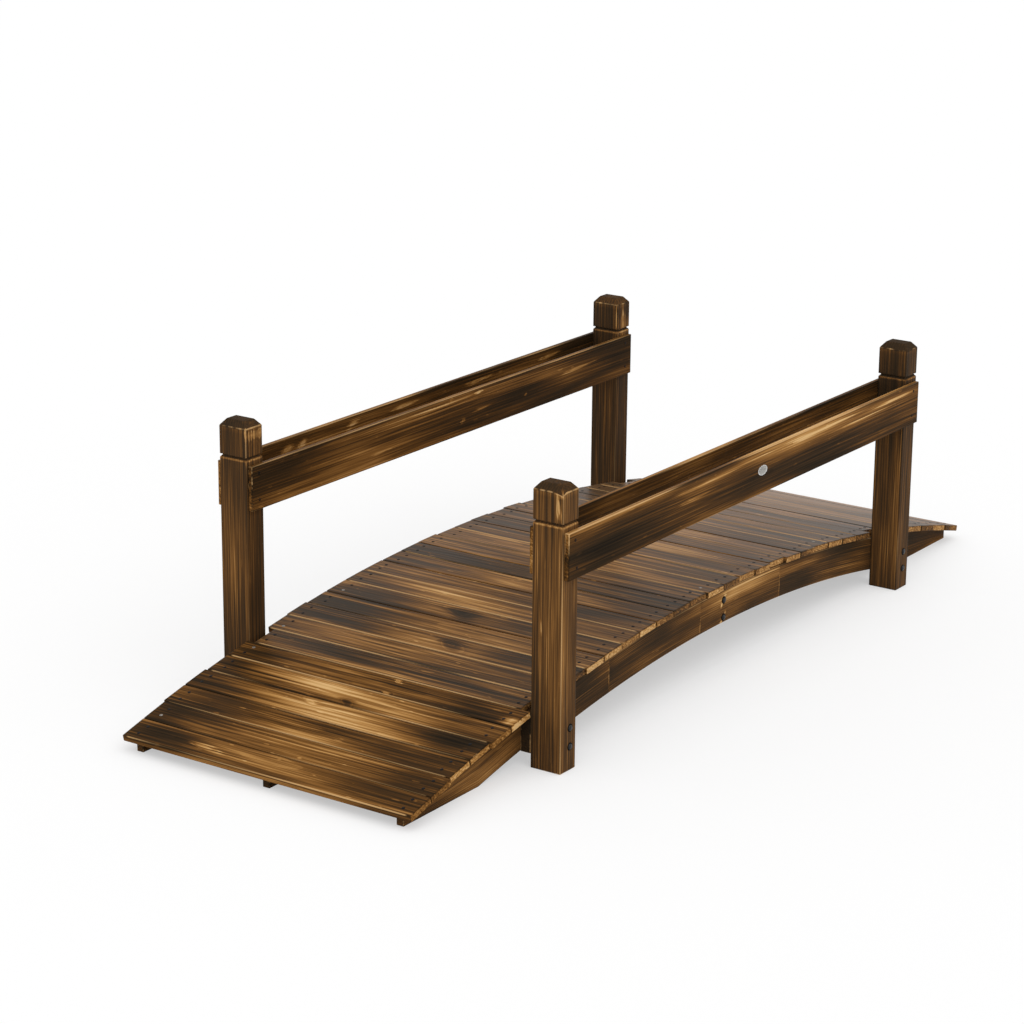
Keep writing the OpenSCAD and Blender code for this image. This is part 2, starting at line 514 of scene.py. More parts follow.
# %% Arc and boards
BOARDS = 34
RAMP = 6
CROWN_Z, END_Z = 0.186, 0.0335
BOARD_T, BOARD_GAP = 0.014, 0.001
half_length = cad_high[0]
rise = CROWN_Z - END_Z
ARC_R = (half_length ** 2 + rise ** 2) / (2.0 * rise)
ARC_Z = CROWN_Z - ARC_R
# the turn from board to board that brings the outermost edges to the frame's ends
BOARD_STEP = math.radians(0.889781)
BOARD_W = 2.0 * ARC_R * math.tan(BOARD_STEP / 2.0) - BOARD_GAP
DECK_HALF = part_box("span_board_10")[1][1]
SHORT_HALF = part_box("near_post_board")[1][1]


def board_node(i):
    if i <= RAMP:
        return f"near_ramp_board_{i}"
    if i == RAMP + 1:
        return "near_post_board"
    if i < BOARDS - RAMP:
        return f"span_board_{i - RAMP - 1:02d}"
    if i == BOARDS - RAMP:
        return "far_post_board"
    return f"far_ramp_board_{BOARDS + 1 - i}"


END_TRIM = 0.0035
FULL_CUTS, SHORT_CUTS, BOARD_CUTS = 47, 43, 5
full_board = sawn_bar("full_board", 2 * (DECK_HALF - END_TRIM), BOARD_W, BOARD_T, FULL_CUTS, BOARD_CUTS)
short_board = sawn_bar("short_board", 2 * SHORT_HALF, BOARD_W, BOARD_T, SHORT_CUTS, BOARD_CUTS)
print("board width", round(BOARD_W, 4), "on a radius of", round(ARC_R, 3))

# %% Marks on the boards
NEAR_RUB = {1: 1.3, 3: 1.1, 4: 0.9, 5: 1.1, 6: 1.4, 8: 1.4, 9: 1.2, 11: 0.3, 13: 1.2, 14: 0.4, 15: 1.2,
            16: 0.3, 21: 0.1, 23: 0.1, 29: 0.1}
WIDE_GAPS = (10, 13, 15, 20, 22, 28)
WIDE_GAP, SAWN_GAP = 0.0026, 0.0009
END_TONE = {1: -0.25, 2: -0.2, 3: 0.3, 4: 0.22, 5: -0.28, 6: 0.25, 7: 0.1, 8: 0.15, 9: -0.3, 10: 0.25,
            11: 0.2, 12: -0.1, 13: 0.28, 14: -0.2, 15: -0.1, 16: -0.25, 17: 0.15, 18: -0.3, 19: 0.1}
DECK_MARKS = {
    1: ((290, 0, 110, 40, -0.25), (-230, 5, 170, 40, -0.15)),
    2: ((330, 0, 50, 40, -0.15), (290, 15, 70, 20, -0.12), (20, 0, 220, 50, 0.06), (-300, 0, 80, 50, -0.10)),
    3: ((250, 0, 110, 40, -0.16), (30, -28, 110, 12, 0.20), (-60, 22, 130, 14, -0.15),
        (-240, 0, 130, 40, -0.12)),
    4: ((310, 0, 80, 50, -0.12), (10, 0, 160, 40, 0.36), (-290, 0, 70, 40, -0.25)),
    5: ((320, 0, 45, 40, -0.20), (70, 12, 130, 30, 0.44), (-120, 0, 120, 50, 0.17), (-250, 0, 60, 40, -0.12)),
    6: ((300, 0, 80, 50, -0.18), (-240, 0, 60, 50, -0.15), (-348, -17, 18, 13, 0.75)),
    7: ((110, 0, 110, 40, -0.15), (-160, 0, 170, 40, -0.22)),
    8: ((190, 20, 70, 20, 0.10), (-10, 0, 60, 40, 0.06)),
    9: ((240, 0, 120, 50, -0.22), (30, -15, 70, 22, 0.12), (-200, -10, 80, 40, -0.20)),
    10: ((250, 0, 110, 50, -0.15), (-60, 0, 160, 50, -0.05)),
    11: ((250, 0, 110, 50, -0.20), (-150, 0, 70, 40, -0.15)),
    12: ((30, -8, 140, 30, 0.16),),
    13: ((50, 0, 250, 50, -0.12),),
    14: ((40, -10, 90, 25, 0.20),),
    15: ((200, 0, 200, 50, -0.20),),
    16: ((130, 25, 80, 15, 0.15),),
    17: ((150, 10, 100, 40, 0.10),),
}
DECK_KNOTS = {
    1: ((178, 0, 46, 8, 0.8),),
    4: ((72, 18, 18, 8, 0.5),),
    5: ((6, -20, 14, 9, -0.8),),
    6: ((-42, 24, 10, 6, 0.8), (-49, -28, 12, 6, 0.8)),
    9: ((-45, 5, 26, 17, -0.9),),
    11: ((25, 1, 30, 20, -0.9),),
}


def board_tone(i, along, ends):
    """Darker towards both ends, and past the ramp on the right too; each sawn end has its own tone."""
    tone = chance.uniform(-0.06, 0.06) - 0.10 * np.clip((np.abs(along) - 0.12) / 0.2, 0.0, 1.0)
    tone = tone - (0.04 * np.clip(-along / 0.2, 0.0, 1.0) if i > RAMP else -0.02)
    any_end = chance.uniform(-0.3, 0.3) - (0.2 if i > BOARDS - RAMP else 0.0)
    return tone + 0.05 + ends * (0.30 + 0.55 * END_TONE.get(i, any_end))


print(len(DECK_MARKS), "boards with marks,", len(DECK_KNOTS), "with knots")

# %% Lay the deck
UNDER_RUB = 0.2
LIFT_MAX, TIP_MAX = 0.0008, 0.4
boards = []
for i in range(1, BOARDS + 1):
    node = board_node(i)
    short = i in (RAMP + 1, BOARDS - RAMP)
    model = short_board if short else full_board
    board = model.copy()
    board.data = model.data.copy()
    board.name = "dressed_" + node
    bpy.context.scene.collection.objects.link(board)
    along, across, depth = give_grain(board, i).T
    half = SHORT_HALF if short else DECK_HALF - END_TRIM
    rub = np.where(across > 0, NEAR_RUB.get(i, chance.uniform(0.7, 1.4)), chance.uniform(0.1, 0.7))
    rub = np.where(np.abs(along) > half - 2 * EASE, chance.uniform(0.2, 0.8), rub)
    rub = rub * np.where(depth > 0, 1.0, UNDER_RUB)
    give_arris(board, (half, BOARD_W / 2, BOARD_T / 2), rub)
    base = board_tone(i, along, np.abs(along) > half - HAIR)
    give_tone(board, along, -across, base, DECK_MARKS.get(i, ()))
    give_knots(board, along, -across, DECK_KNOTS.get(i, ()))
    if i < BOARDS:
        points = points_of(board)
        points[points[:, 1] < BORDER - BOARD_W / 2, 1] += WIDE_GAP if i in WIDE_GAPS else SAWN_GAP
        set_points(board, points)
    tilt = (i - (BOARDS + 1) / 2) * BOARD_STEP
    slide = chance.uniform(-1.0, 1.0) * (0.0 if short else END_TRIM)
    lift = chance.uniform(0.0, LIFT_MAX)
    tip = math.radians(chance.uniform(-TIP_MAX, TIP_MAX)) if 1 < i < BOARDS else 0.0
    top = Vector((ARC_R * math.sin(tilt), slide, ARC_Z + ARC_R * math.cos(tilt)))
    place = (Matrix.Translation(top) @ Matrix.Rotation(tilt, 4, "Y")
             @ Matrix.Translation((0.0, 0.0, lift - BOARD_T / 2))
             @ Matrix.Rotation(tip, 4, "Y") @ Matrix.Rotation(math.pi / 2, 4, "Z"))
    board.data.transform(place)
    finish_piece(board, node, ramp_finish if i <= RAMP else deck_finish)
    boards.append((board, place, half))
for model in (full_board, short_board):
    bpy.data.objects.remove(model)
print(len(boards), "boards,", len(boards[0][0].data.vertices), "points each")

# %% [markdown]
# ## Posts
# A post is a plain shaft with a groove all round near the top and a head with four slopes. It grows by
# extruding its top face: up the shaft, in and up over the groove's sloped shoulder, out again under its
# lip, up the head and in for the slopes. The shaft is then cut along its length, and all its outline
# edges are eased, except those deep in the groove, which is too narrow for it. One post has lost a
# splinter at its front corner, where every point above a tilted plane is pushed down onto it.

# %% Post sizes and helpers
POST_H = cad_high[2]
post_low, post_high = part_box("right_near_post")
POST_X, POST_Y = post_high[0] - post_low[0], post_high[1] - post_low[1]
HEAD_H, HEAD_IN = 0.014, 0.0115
GROOVE_DROP, GROOVE_H, GROOVE_D = 0.076, 0.0075, 0.0045
GROOVE_SLOPE = 0.0050
POST_EASE = 0.0013
POST_BORDER, HEAD_BORDER = 0.0035, 0.0030
POST_ANGLE = 0.4
SHAFT_CUTS, HEAD_CUTS, SIDE_CUTS = 31, 4, 4
TOUCH = 1e-4
shaft_h = POST_H - GROOVE_DROP - GROOVE_H


def raise_top(height, inset_from, inset_to):
    bpy.ops.mesh.extrude_region_move(TRANSFORM_OT_translate={"value": (0.0, 0.0, height)})
    wide = [(size - 2 * inset_to) / (size - 2 * inset_from) for size in (POST_X, POST_Y)]
    bpy.ops.transform.resize(value=(wide[0], wide[1], 1.0))


def on_outside(face):
    middle = face.calc_center_median()
    return abs(middle.x) > POST_X / 2 - TOUCH or abs(middle.y) > POST_Y / 2 - TOUCH


def in_groove_wall(vert):
    x, y, z = vert.co
    deep = abs(x) < POST_X / 2 - GROOVE_D + TOUCH and abs(y) < POST_Y / 2 - GROOVE_D + TOUCH
    return deep and GROOVE_SLOPE - TOUCH < z - shaft_h < GROOVE_H + TOUCH


def is_post_edge(edge):
    sharp = len(edge.link_faces) == 2 and edge.calc_face_angle() > POST_ANGLE
    return sharp and not any(in_groove_wall(vert) for vert in edge.verts)


print("post", round(POST_X, 4), "x", round(POST_Y, 4), "x", round(POST_H, 4))

# %% Model one post
bpy.ops.object.select_all(action="DESELECT")
bpy.ops.mesh.primitive_cube_add(size=1.0, location=(0.0, 0.0, shaft_h / 2))
post_model = bpy.context.object
post_model.scale = (POST_X, POST_Y, shaft_h)
bpy.ops.object.transform_apply(location=True, rotation=False, scale=True)
bpy.ops.object.mode_set(mode="EDIT")
pick(post_model, "FACE", lambda face: face.normal.z > 0.9)
raise_top(GROOVE_SLOPE, 0.0, GROOVE_D)
raise_top(GROOVE_H - GROOVE_SLOPE, GROOVE_D, GROOVE_D)
raise_top(0.0, GROOVE_D, 0.0)
raise_top(GROOVE_DROP - HEAD_H, 0.0, 0.0)
raise_top(HEAD_H, 0.0, HEAD_IN)
pick(post_model, "EDGE", lambda e: runs_along(2)(e) and e.calc_length() > 0.2)
bpy.ops.mesh.subdivide(number_cuts=SHAFT_CUTS)
pick(post_model, "EDGE", lambda e: runs_along(2)(e) and 0.05 < e.calc_length() < 0.1)
bpy.ops.mesh.subdivide(number_cuts=HEAD_CUTS)
for axis in (0, 1):
    pick(post_model, "EDGE", runs_along(axis))
    bpy.ops.mesh.subdivide(number_cuts=SIDE_CUTS)
bpy.ops.mesh.select_all(action="SELECT")
bpy.ops.mesh.remove_doubles(threshold=1e-6)
border_sides(post_model, SIX_SIDES[:4], POST_BORDER, on_outside)
slope = Vector((HEAD_H, 0.0, HEAD_IN)).normalized()
border_sides(post_model, ((slope.x, 0, slope.z), (-slope.x, 0, slope.z),
                          (0, slope.x, slope.z), (0, -slope.x, slope.z)), HEAD_BORDER)
pick(post_model, "EDGE", is_post_edge)
bpy.ops.mesh.bevel(offset=POST_EASE, segments=2, profile=0.5)
bpy.ops.mesh.select_all(action="SELECT")
bpy.ops.mesh.normals_make_consistent(inside=False)
bpy.ops.object.mode_set(mode="OBJECT")
spots = points_of(post_model)
spots[:, 2] = np.clip(spots[:, 2], 0.0, POST_H)
set_points(post_model, spots)
print("post model", len(spots), "points")

# %% Stand four posts
POST_MARKS = {
    "right_near_post": ((40, -415, 90, 60, -0.10), (430, -375, 200, 20, 0.05), (180, -380, 120, 20, -0.06)),
    "left_near_post": ((60, 400, 120, 60, -0.06), (300, 395, 150, 15, 0.05)),
    "right_far_post": ((250, -420, 250, 12, 0.18), (500, -380, 120, 20, -0.06)),
    "left_far_post": ((590, 397, 8, 40, 0.18), (560, 365, 60, 6, 0.15)),
}
POST_KNOTS = {
    "right_near_post": ((556, -422, 24, 5, 1.1), (300, -384, 16, 2.5, 0.6)),
    "left_near_post": ((572, 364, 14, 4, 1.0),),
    "left_far_post": ((545, 364, 40, 3.5, 1.0),),
}
CHIPPED_POST, CHIP_WIDE, CHIP_DROP = "right_near_post", 0.028, 0.007
# tone of each post, and what its head adds
POST_TONES = {
    "left_near_post": (0.0, -0.14),
    "right_near_post": (0.01, -0.14),
    "left_far_post": (-0.10, -0.02),
    "right_far_post": (0.0, -0.10),
}
RIM_DROP = 0.006
posts = []
for number, (node, (whole, head)) in enumerate(POST_TONES.items()):
    post = post_model.copy()
    post.data = post_model.data.copy()
    post.name = "dressed_" + node
    bpy.context.scene.collection.objects.link(post)
    give_grain(post, 50 + number, fibre=2)
    spots = points_of(post)
    high = spots[:, 2]
    corner = np.array((POST_X / 2, POST_Y / 2)) - POST_EASE - HAIR
    sides = (np.abs(spots[:, :2]) > corner).sum(axis=1) >= 2
    rim = np.abs(high - (POST_H - HEAD_H)) < POST_EASE + TOUCH
    foot = high < POST_EASE + HAIR
    over_groove = high > POST_H - GROOVE_DROP
    store = post.data.attributes.new("arris", "FLOAT", "POINT")
    rub = (sides | rim | foot) * np.where(rim, 1.1, np.where(over_groove, 0.95, 0.8))
    store.data.foreach_set("value", rub.astype(np.float32))
    on_head = high > POST_H - HEAD_H + POST_EASE
    under_rim = over_groove & ~on_head & (high > POST_H - HEAD_H - RIM_DROP)
    in_groove = np.abs(high - (POST_H - GROOVE_DROP - GROOVE_H / 2)) < GROOVE_H / 2 + TOUCH
    lip = np.abs(high - shaft_h) < POST_EASE + TOUCH
    base = whole + head * on_head + 0.08 * under_rim
    # a lighter, dusty lip on the groove's lower shoulder, partly a painted highlight, and painted shade in
    # the rest of the groove
    base = base + 0.28 * lip - 0.10 * (in_groove & ~lip)
    if node == CHIPPED_POST:
        deep = (spots[:, 1] + POST_Y / 2) / CHIP_WIDE
        plane = POST_H - HEAD_H - CHIP_DROP * (1.0 - deep)
        plane = plane + (spots[:, 0] + POST_X / 2) * HEAD_H / HEAD_IN
        chipped = (deep < 1.0) & (high > plane) & over_groove
        spots[chipped, 2] = plane[chipped]
        set_points(post, spots)
        base = base + 0.30 * (chipped & ~on_head)
    low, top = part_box(node)
    post.data.transform(Matrix.Translation(((low[0] + top[0]) / 2, (low[1] + top[1]) / 2, 0.0)))
    spots = points_of(post)
    give_tone(post, spots[:, 2], spots[:, 1], base, POST_MARKS.get(node, ()))
    give_knots(post, spots[:, 2], spots[:, 1], POST_KNOTS.get(node, ()))
    finish_piece(post, node, post_finish)
    posts.append(post)
bpy.data.objects.remove(post_model)
print(len(posts), "posts,", len(posts[0].data.vertices), "points each")

# %% [markdown]
# ## Rails
# Each side has two thin boards on edge, one on the outer and one on the inner face of its posts. The
# outer faces stop a hair inside the frame's box, which leaves room for the screw heads and the plate.

# %% Marks on the rails
RAIL_TONE = {
    "left_outer_rail": 0.02,
    "left_inner_rail": 0.0,
    "right_inner_rail": 0.07,
    "right_outer_rail": 0.08,
}
RAIL_MARKS = {
    "right_outer_rail": (
        (100, 487, 600, 15, 0.14), (300, 491, 280, 7, 0.10), (620, 488, 120, 8, 0.14),
        (480, 472, 240, 7, 0.08), (-520, 447, 260, 34, -0.33), (-560, 484, 190, 20, -0.15),
        (-180, 484, 160, 7, 0.16), (150, 430, 700, 26, -0.16), (620, 430, 120, 30, -0.10),
        (-560, 411, 90, 8, 0.16)),
    "right_inner_rail": ((-300, 470, 350, 40, 0.14), (520, 455, 220, 60, -0.08)),
    "left_inner_rail": (
        (-100, 494, 300, 6, 0.34), (-160, 484, 200, 5, 0.16), (250, 470, 70, 26, -0.14),
        (-620, 465, 150, 36, -0.20), (650, 470, 90, 34, -0.17), (-200, 440, 300, 40, 0.05),
        (-640, 412, 80, 8, 0.16)),
    "left_outer_rail": ((-450, 480, 200, 30, 0.10), (560, 460, 160, 50, -0.22)),
}
RAIL_KNOTS = {
    "left_inner_rail": (
        (82, 491, 16, 6, 1.0), (100, 452, 40, 4.5, 0.75), (22, 438, 9, 5, 0.7),
        (500, 466, 60, 4, 0.75), (-300, 432, 40, 4, 0.5), (275, 447, 8, 5, 0.8),
        (-150, 489, 220, 3.5, 0.7), (-60, 480, 180, 2.5, 0.6)),
    "left_outer_rail": (
        (-515, 480, 22, 12, 0.75), (-462, 482, 16, 11, 0.75), (-285, 484, 22, 9, 0.8),
        (-95, 484, 44, 6, 0.75), (195, 484, 40, 6, 0.75), (505, 485, 40, 5, 0.8)),
    "right_outer_rail": (
        (300, 491, 260, 4, 0.9), (480, 474, 180, 3, 0.9), (640, 487, 90, 3.5, 0.8),
        (-180, 484, 140, 3, 0.7), (-250, 462, 60, 4, 0.5)),
}
print(len(RAIL_TONE), "rails to fix")

# %% Fix the rails
RAIL_SKIN = 0.0009
RAIL_CUTS = (71, 1, 6)
rails = []
for number, node in enumerate(RAIL_TONE):
    low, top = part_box(node)
    size = top - low
    thick = size[1] - RAIL_SKIN
    rail = sawn_bar("dressed_" + node, size[0], thick, size[2], *RAIL_CUTS)
    give_grain(rail, 60 + number)
    # upper edges are rubbed more than lower ones: wear, and partly a painted highlight along the top
    upper = points_of(rail)[:, 2] > 0
    give_arris(rail, (size[0] / 2, thick / 2, size[2] / 2), np.where(upper, 1.1, 0.7))
    middle = (low + top) / 2
    inward = -RAIL_SKIN / 2 if middle[1] > 0 else RAIL_SKIN / 2
    if "inner" in node:
        inward = -inward
    rail.data.transform(Matrix.Translation((middle[0], middle[1] + inward, middle[2])))
    spots = points_of(rail)
    ends = np.abs(spots[:, 0]) > size[0] / 2 - HAIR
    # the sawn ends are lighter end grain; the top face is lighter as a painted highlight
    top_highlight = spots[:, 2] > top[2] - HAIR
    base = RAIL_TONE[node] + 0.14 * ends + 0.15 * top_highlight
    give_tone(rail, spots[:, 0], spots[:, 2], base, RAIL_MARKS.get(node, ()))
    give_knots(rail, spots[:, 0], spots[:, 2], RAIL_KNOTS.get(node, ()))
    finish_piece(rail, node, rail_finish)
    rails.append(rail)
print(len(rails), "rails")

# %% [markdown]
# ## Arched beams and stringers
# These are bars too, but their tops follow the deck's arc and their undersides a flatter one. The bar is
# cut often along its length, and then every point slides up or down to its share of the height between
# the two arcs. Past the springing points the stringers lie flat on the ground. The side beams are glued
# up from four lengths, so each length of a beam takes its grain and tone from a log of its own.

# %% Arcs, marks and glue
SEAT = 0.0003
UNDER_CROWN, UNDER_REACH = 0.0975, 0.886
CARRY_R = ARC_R - BOARD_T - SEAT
UNDER_R = (UNDER_REACH ** 2 + UNDER_CROWN ** 2) / (2 * UNDER_CROWN)
BEAM_MARKS = {
    "right_arch_beam": (
        (60, 155, 180, 14, 0.24), (-560, 120, 90, 25, -0.10), (450, 112, 170, 32, -0.05),
        (-250, 100, 160, 10, 0.08), (600, 62, 90, 10, 0.08)),
    "right_stringer": (
        (-930, 15, 160, 14, 0.16), (-880, 82, 190, 24, -0.16), (-1050, 30, 60, 14, -0.10),
        (950, 40, 220, 40, -0.16)),
}
GLUE_LINES = ((-455, 104, 1.8, 26, 0.8), (-92, 112, 1.8, 22, 0.7), (252, 116, 1.8, 26, 0.8))
BOLT_TEARS = ((12, 158, 7, 4, 1.3), (-2, 139, 4, 6, 1.2), (13, 118, 5, 4, 1.1), (-3, 101, 5, 5, 1.2))
BEAM_JOINTS = (-0.455, -0.092, 0.252)
LENGTH_TONE = (-0.02, -0.02, 0.02, -0.03)
LENGTH_SHIFT = (1.3, 0.04, 0.02)


def glue_up(bar):
    """Moves the finish on each glued length to its own stretch of log, face by face."""
    mesh = bar.data
    middle = np.array([face.center.x for face in mesh.polygons])
    length = np.searchsorted(BEAM_JOINTS, middle)
    corners = np.repeat(length, [face.loop_total for face in mesh.polygons])
    at = np.empty(len(mesh.loops), np.int32)
    mesh.loops.foreach_get("vertex_index", at)
    grain = np.empty(len(mesh.vertices) * 3, np.float32)
    mesh.attributes["grain"].data.foreach_get("vector", grain)
    tone = np.empty(len(mesh.vertices), np.float32)
    mesh.attributes["tone"].data.foreach_get("value", tone)
    grain = grain.reshape(-1, 3)[at] + corners[:, None] * np.array(LENGTH_SHIFT)
    tone = tone[at] + np.array(LENGTH_TONE)[corners]
    moved = (("grain", "FLOAT_VECTOR", "vector", grain), ("tone", "FLOAT", "value", tone))
    for name, kind, field, values in moved:
        mesh.attributes.remove(mesh.attributes[name])
        store = mesh.attributes.new(name, kind, "CORNER")
        store.data.foreach_set(field, np.ascontiguousarray(values, np.float32).ravel())


print("radius under the arch", round(UNDER_R, 3))

# %% Bend the bars to the two arcs
BLANK_H, BAR_SKIN = 0.10, 0.0002
BEAM_CUTS, STRINGER_CUTS = 73, 110


def arch_bar(node, number, cuts):
    low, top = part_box(node)
    length, thick = top[0] - low[0], top[1] - low[1]
    bar = sawn_bar("dressed_" + node, length, thick - 2 * BAR_SKIN, BLANK_H, cuts, 1, 5)
    give_grain(bar, number)
    give_arris(bar, (length / 2, thick / 2 - BAR_SKIN, BLANK_H / 2))
    points = points_of(bar)
    spring = np.abs(np.abs(points[:, 0]) - UNDER_REACH) < length / cuts / 2
    points[spring, 0] = np.sign(points[spring, 0]) * UNDER_REACH
    if "beam" in node:
        for joint in BEAM_JOINTS:
            points[np.abs(points[:, 0] - joint) < length / cuts / 2, 0] = joint
    x = points[:, 0]
    carry = ARC_Z + np.sqrt(CARRY_R ** 2 - x ** 2)
    under = np.maximum(0.0, UNDER_CROWN - UNDER_R + np.sqrt(UNDER_R ** 2 - x ** 2))
    share = np.clip(points[:, 2] / BLANK_H + 0.5, 0.0, 1.0)
    points[:, 2] = under + share * (carry - under)
    points[:, 1] += (low[1] + top[1]) / 2
    set_points(bar, points)
    ends = np.abs(x) > length / 2 - HAIR
    base = chance.uniform(-0.03, 0.03) - (0.25 if "beam" in node else 0.05) * ends
    give_tone(bar, points[:, 0], points[:, 2], base, BEAM_MARKS.get(node, ()))
    knots = GLUE_LINES + BOLT_TEARS if "beam" in node else ()
    give_knots(bar, points[:, 0], points[:, 2], knots)
    if "beam" in node:
        glue_up(bar)
    finish_piece(bar, node, beam_finish)
    return bar


beams = [arch_bar("left_arch_beam", 70, BEAM_CUTS), arch_bar("right_arch_beam", 71, BEAM_CUTS)]
for number, side in enumerate(("left", "middle", "right")):
    beams.append(arch_bar(side + "_stringer", 72 + number, STRINGER_CUTS))
print(len(beams), "beams and stringers")

# %% [markdown]
# ## Nails, bolts and screws
# Each board is held by two nails over each outer stringer. A nail head is a short cylinder with a raised,
# bevelled crown. It is modelled once, and the copies are joined into one mesh, because a hundred loose
# objects would only slow the file down.

# %% Metal finishes
def metal(name, colour, metallic, rough, scuff, gloss=0.5):
    finish, w, shader = new_finish(name)
    place = w.add("TexCoord", out="Object")
    wear = w.noise(place, (300.0, 300.0, 300.0), 3.0, 0.6)
    dark = tuple(0.45 * part for part in colour)
    tint = w.mix(w.step(wear, 0.35, 0.65), (*dark, 1.0), (*colour, 1.0))
    w.tree.links.new(tint.socket, shader.inputs["Base Color"])
    w.tree.links.new((rough + (wear - 0.5) * scuff).socket, shader.inputs["Roughness"])
    shader.inputs["Metallic"].default_value = metallic
    shader.inputs["Specular IOR Level"].default_value = gloss
    return finish


nail_finish = metal("nail_steel", (0.007, 0.006, 0.006), 0.0, 0.50, 0.3, 0.08)
# a few nail heads in lighter metal: worn, and partly a painted glint
glint_worn_finish = metal("worn_glint_nail", (0.30, 0.27, 0.23), 0.6, 0.45, 0.3)
bolt_finish = metal("black_bolt", (0.005, 0.005, 0.0052), 0.0, 0.26, 0.2, 0.35)
# painted shade: a black ring round each bolt head
shade_ring_finish = metal("painted_shade_ring", (0.003, 0.003, 0.003), 0.0, 0.60, 0.2, 0.05)
plate_finish = metal("plate_rim", (0.80, 0.79, 0.76), 0.9, 0.25, 0.1)
field_finish = metal("plate_field", (0.46, 0.45, 0.42), 0.8, 0.40, 0.1)
print("six metal finishes")


# %% Round heads from one cylinder
def round_head(name, radius, flange, rings, sides):
    """A cylinder whose top face is inset and raised ring by ring into a crown."""
    bpy.ops.object.select_all(action="DESELECT")
    bpy.ops.mesh.primitive_cylinder_add(vertices=sides, radius=radius, depth=flange)
    head = bpy.context.object
    head.name = name
    bpy.ops.object.mode_set(mode="EDIT")
    pick(head, "FACE", lambda face: face.normal.z > 0.9)
    for step_in, lift in rings:
        bpy.ops.mesh.inset(thickness=step_in, depth=0.0)
        bpy.ops.transform.translate(value=(0.0, 0.0, lift))
    bpy.ops.object.mode_set(mode="OBJECT")
    head.data.transform(Matrix.Translation((0.0, 0.0, flange / 2)))
    return head


def set_heads(name, head, places, finish):
    copies = []
    for place in places:
        copy = head.copy()
        copy.data = head.data.copy()
        copy.data.transform(place)
        bpy.context.scene.collection.objects.link(copy)
        copies.append(copy)
    bpy.data.objects.remove(head)
    bpy.ops.object.select_all(action="DESELECT")
    for copy in copies:
        copy.select_set(True)
    bpy.context.view_layer.objects.active = copies[0]
    bpy.ops.object.join()
    copies[0].name = name
    finish_piece(copies[0], None, finish)
    print(name, len(places), "heads,", len(copies[0].data.polygons), "faces")


print("head tools ready")

# %% Nails
NAIL_Y, NAIL_X, NAIL_R = 0.332, 0.0135, 0.0037
NAIL_STRAY, NAIL_SUNK, NAIL_LEAN = 0.003, 0.0006, 5
NAIL_FLANGE, NAIL_RINGS = 0.0008, ((0.0006, 0.0003), (0.0010, 0.0001))
END_CLEAR = 0.016
# board, end and edge of the nails whose heads are worn lighter, partly as a painted glint
GLINT_WORN_NAILS = ((2, 1, 1), (6, 1, -1), (8, 1, 1), (11, 1, 1), (17, -1, 1), (24, -1, -1))
nail_places, glint_worn_places = [], []
for i, (_, place, half) in enumerate(boards, 1):
    for end in (-1, 1):
        for edge in (-1, 1):
            along = end * min(NAIL_Y, half - END_CLEAR) + chance.uniform(-NAIL_STRAY, NAIL_STRAY)
            across = edge * NAIL_X + chance.uniform(-NAIL_STRAY, NAIL_STRAY)
            spot = (along, across, BOARD_T / 2 - NAIL_SUNK)
            lean = Matrix.Rotation(math.radians(chance.uniform(-NAIL_LEAN, NAIL_LEAN)), 4, "X")
            chosen = glint_worn_places if (i, end, edge) in GLINT_WORN_NAILS else nail_places
            chosen.append(place @ Matrix.Translation(spot) @ lean)
nail_sets = (("deck_nails", nail_places, nail_finish), ("worn_glint_nails", glint_worn_places, glint_worn_finish))
for name, places, finish in nail_sets:
    nail = round_head("nail", NAIL_R, NAIL_FLANGE, NAIL_RINGS, 12)
    set_heads(name, nail, places, finish)

# %% [markdown]
# Black domed bolts tie each post to the beam behind it, and two more sit at mid-span on each side beam.
# Each bolt head sits on a flat black ring, which is painted shade round the head.

# %% Bolts
BOLT_R, BOLT_FLANGE = 0.0064, 0.0014
BOLT_RINGS = ((0.0008, 0.0012), (0.0018, 0.0010), (0.0020, 0.0004))
SHADE_RING_R, SHADE_RING_T, SHADE_RING_RINGS = 0.0084, 0.0010, ((0.0006, 0.0003), (0.0020, -0.0004))
BOLT_SUNK = 0.0003
BOLT_SPOTS = ((-0.709, 0.433, 0.0905), (-0.709, 0.433, 0.0505), (0.719, 0.433, 0.0895),
              (0.719, 0.433, 0.0485), (0.006, 0.3615, 0.1490), (0.006, 0.3615, 0.1095))
bolt_places = []
for x, y, z in BOLT_SPOTS:
    for side in (-1, 1):
        outward = Matrix.Rotation(-side * math.pi / 2, 4, "X")
        bolt_places.append(Matrix.Translation((x, side * (y - BOLT_SUNK), z)) @ outward)
# the flat black ring under each bolt head is painted shade
shade_ring = round_head("shade_ring", SHADE_RING_R, SHADE_RING_T, SHADE_RING_RINGS, 24)
set_heads("bolt_shade_rings", shade_ring, bolt_places, shade_ring_finish)
bolt = round_head("bolt", BOLT_R, BOLT_FLANGE, BOLT_RINGS, 24)
set_heads("post_bolts", bolt, bolt_places, bolt_finish)

# %% [markdown]
# Two small screws hold each end of each rail to its post. Their heads get a dimple for the driver.

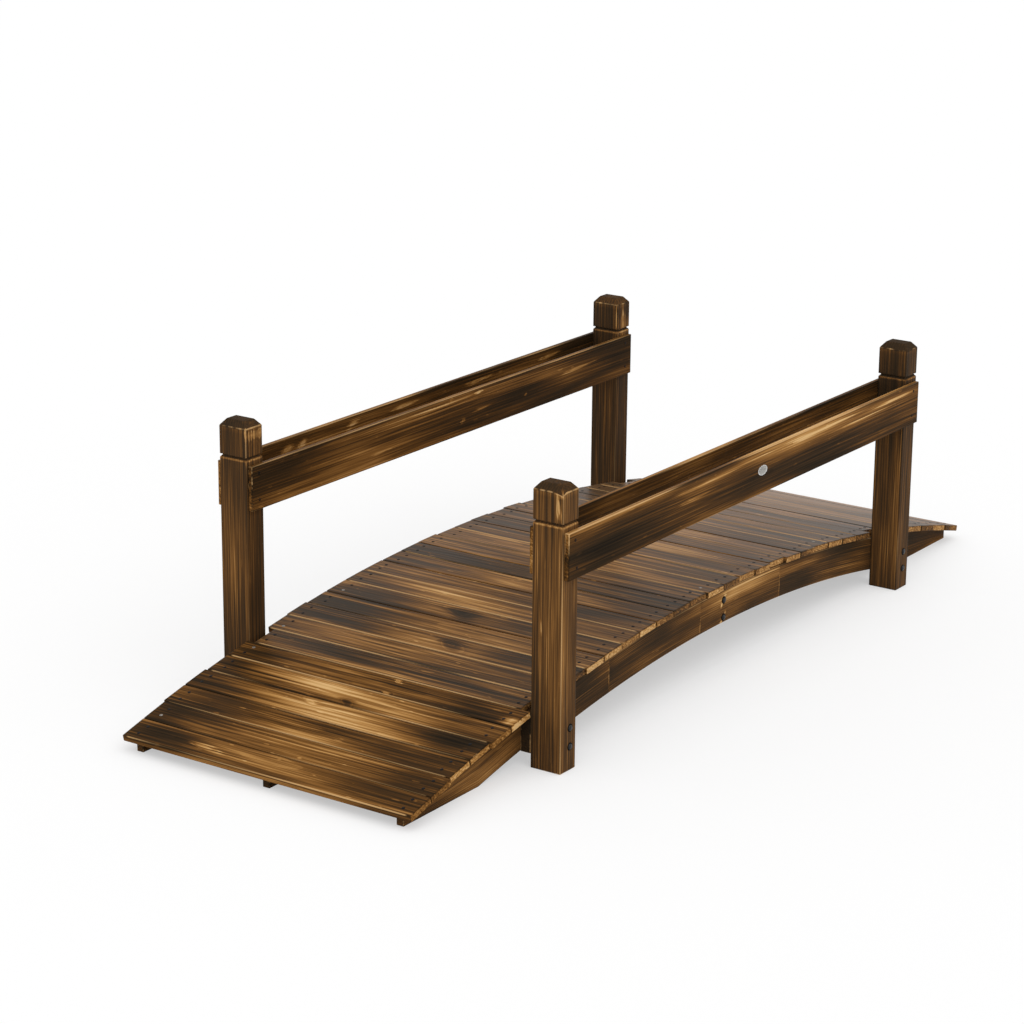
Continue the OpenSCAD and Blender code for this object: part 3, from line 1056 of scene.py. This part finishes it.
# %% Rail screws
SCREW_X, SCREW_ZS, SCREW_R = 0.711, (0.485, 0.4265), 0.0032
SCREW_STRAY, SCREW_SUNK = 0.004, 0.0004
SCREW_FLANGE, SCREW_RINGS = 0.0008, ((0.0008, 0.0003), (0.0007, 0.0), (0.0003, -0.0008))
screw_places = []
for node in RAIL_TONE:
    low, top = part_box(node)
    middle_y = (low[1] + top[1]) / 2
    outward = (1 if middle_y > 0 else -1) * (1 if "outer" in node else -1)
    face_y = (top[1] if outward > 0 else low[1]) - outward * RAIL_SKIN
    for end in (-1, 1):
        for z in SCREW_ZS:
            x = end * SCREW_X + chance.uniform(-SCREW_STRAY, SCREW_STRAY)
            spot = (x, face_y - outward * SCREW_SUNK, z)
            turned = Matrix.Rotation(-outward * math.pi / 2, 4, "X")
            screw_places.append(Matrix.Translation(spot) @ turned)
screw = round_head("screw", SCREW_R, SCREW_FLANGE, SCREW_RINGS, 14)
set_heads("rail_screws", screw, screw_places, nail_finish)

# %% [markdown]
# ## Plate
# The right outer rail carries a small oval metal plate. It is left blank here, with a raised rim.

# %% Blank oval plate
PLATE_HALF = (0.0190, 0.0112)
PLATE_T, PLATE_EASE = 0.0008, 0.0003
PLATE_X, PLATE_Z = 0.013, 0.457
RIM_WIDE, RIM_SLOPE, RIM_HIGH = 0.0016, 0.0006, 0.0004
FIELD_AREA = 0.0002
bpy.ops.object.select_all(action="DESELECT")
bpy.ops.mesh.primitive_cylinder_add(vertices=56, radius=1.0, depth=PLATE_T)
plate = bpy.context.object
plate.name = "oval_plate"
plate.scale = (PLATE_HALF[0], PLATE_HALF[1], 1.0)
bpy.ops.object.transform_apply(location=False, rotation=False, scale=True)
bpy.ops.object.mode_set(mode="EDIT")
pick(plate, "FACE", lambda face: face.normal.z > 0.9)
bpy.ops.mesh.inset(thickness=RIM_WIDE, depth=0.0)
bpy.ops.mesh.inset(thickness=RIM_SLOPE, depth=-RIM_HIGH)
pick(plate, "EDGE", lambda edge: is_outline(edge) and all(v.co.z > PLATE_T / 4 for v in edge.verts))
bpy.ops.mesh.bevel(offset=PLATE_EASE, segments=2, profile=0.5)
bpy.ops.object.mode_set(mode="OBJECT")
rail_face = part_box("right_outer_rail")[0][1] + RAIL_SKIN
plate.data.transform(Matrix.Translation((PLATE_X, rail_face - PLATE_T / 2, PLATE_Z))
                     @ Matrix.Rotation(math.pi / 2, 4, "X"))
finish_piece(plate, None, plate_finish)
plate.data.materials.append(field_finish)
for face in plate.data.polygons:
    face.material_index = 1 if face.area > FIELD_AREA else 0
print("plate", len(plate.data.polygons), "faces")
